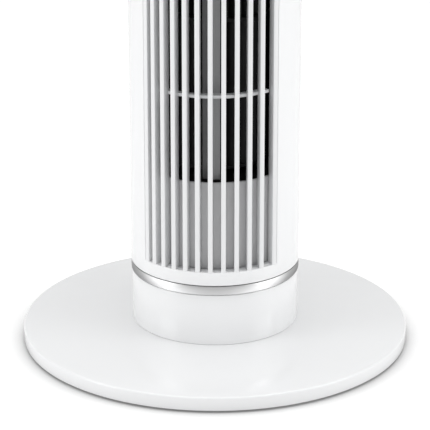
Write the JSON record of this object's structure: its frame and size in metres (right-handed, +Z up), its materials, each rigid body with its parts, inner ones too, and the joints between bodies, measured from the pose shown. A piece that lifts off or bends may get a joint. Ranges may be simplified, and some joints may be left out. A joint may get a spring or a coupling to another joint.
{
  "type": "tower fan",
  "caption": "Slim cylindrical tower fan with a tall finned front outlet, swinging on a round base disc with a collar and a satin ring.",
  "frame": {"origin": "middle of the base disc on the floor", "axes": "+Z up along the column, -Y towards the front grille, +X to the right seen from behind the grille"},
  "size_m": [0.3, 0.3, 0.7415],
  "materials": {
    "white_gloss": "smooth gloss moulding",
    "grille_white": "satin moulding",
    "grey_plastic": "fine matte texture",
    "black_plastic": "fine matte texture",
    "silver_trim": "satin silver, fine turned grain",
    "steel": "zinc plated",
    "cast_metal": "die cast",
    "copper": "varnished wire",
    "bronze": "sintered",
    "rubber": "soft matte",
    "acetal": "slippery natural resin",
    "board_green": "lacquered board",
    "smoked": "dark gloss window",
    "panel_grey": "satin inlay",
    "lens": "clear tinted",
    "key_white": "satin"
  },
  "bodies": {
    "base": {"base_disc": "white_gloss", "base_cover": "grey_plastic", "ballast_ring": "steel", "rubber_feet": "rubber", "cord_gland": "rubber", "pedestal_collar": "white_gloss", "trim_ring": "silver_trim", "swivel_deck": "grey_plastic", "thrust_ring": "acetal", "swing_motor": "steel"},
    "swing_drive": {"swing_pinion": "acetal", "swing_motor_shaft": "steel"},
    "column": {"turntable": "grey_plastic", "swing_gear": "acetal", "hub_retainer": "steel", "motor_lower_bracket": "cast_metal", "motor_upper_bracket": "cast_metal", "motor_stator": "steel", "motor_windings": "copper", "motor_housing": "black_plastic", "motor_cover": "grille_white", "run_capacitor": "grey_plastic", "power_board": "board_green", "blower_ceiling": "black_plastic", "bush_holder": "rubber", "top_bush": "bronze", "scroll_duct": "black_plastic", "vortex_tongue": "black_plastic", "duct_strut": "grey_plastic", "front_shell": "white_gloss", "rear_shell": "white_gloss", "handle_cup": "grille_white", "front_grille": "grille_white", "display_window": "smoked", "top_trim_ring": "silver_trim", "top_cap": "white_gloss", "control_panel": "panel_grey", "indicator_lenses": "lens", "control_board": "board_green", "button_switches": "black_plastic"},
    "blower": {"motor_rotor": "steel", "motor_shaft": "steel", "drive_coupling": "rubber", "blower_wheel": "black_plastic", "stub_shaft": "steel"},
    "power_key": {"button_power": "key_white"},
    "speed_key": {"button_speed": "key_white"},
    "swing_key": {"button_swing": "key_white"},
    "timer_key": {"button_timer": "key_white"}
  },
  "joints": [
    {"name": "oscillation", "type": "hinge", "parent": "base", "child": "column", "pos_m": [0, 0, 0.06], "axis": [0, 0, 1], "range_deg": [-40, 40]},
    {"name": "pinion_spin", "type": "hinge", "parent": "base", "child": "swing_drive", "pos_m": [0, 0.04, 0.055], "axis": [0, 0, 1], "range_deg": [-120, 120]},
    {"name": "blower_spin", "type": "hinge", "parent": "column", "child": "blower", "pos_m": [0, 0, 0.4], "axis": [0, 0, 1], "continuous": true},
    {"name": "power_press", "type": "slide", "parent": "column", "child": "power_key", "axis": [0, 0, -1], "range_m": [0, 0.0008], "stiffness_N_per_m": 600, "springref_m": -0.0005},
    {"name": "speed_press", "type": "slide", "parent": "column", "child": "speed_key", "axis": [0, 0, -1], "range_m": [0, 0.0008], "stiffness_N_per_m": 600, "springref_m": -0.0005},
    {"name": "swing_press", "type": "slide", "parent": "column", "child": "swing_key", "axis": [0, 0, -1], "range_m": [0, 0.0008], "stiffness_N_per_m": 600, "springref_m": -0.0005},
    {"name": "timer_press", "type": "slide", "parent": "column", "child": "timer_key", "axis": [0, 0, -1], "range_m": [0, 0.0008], "stiffness_N_per_m": 600, "springref_m": -0.0005}
  ],
  "couplings": [
    {"joint": "pinion_spin", "follows": "oscillation", "ratio": -3}
  ]
}
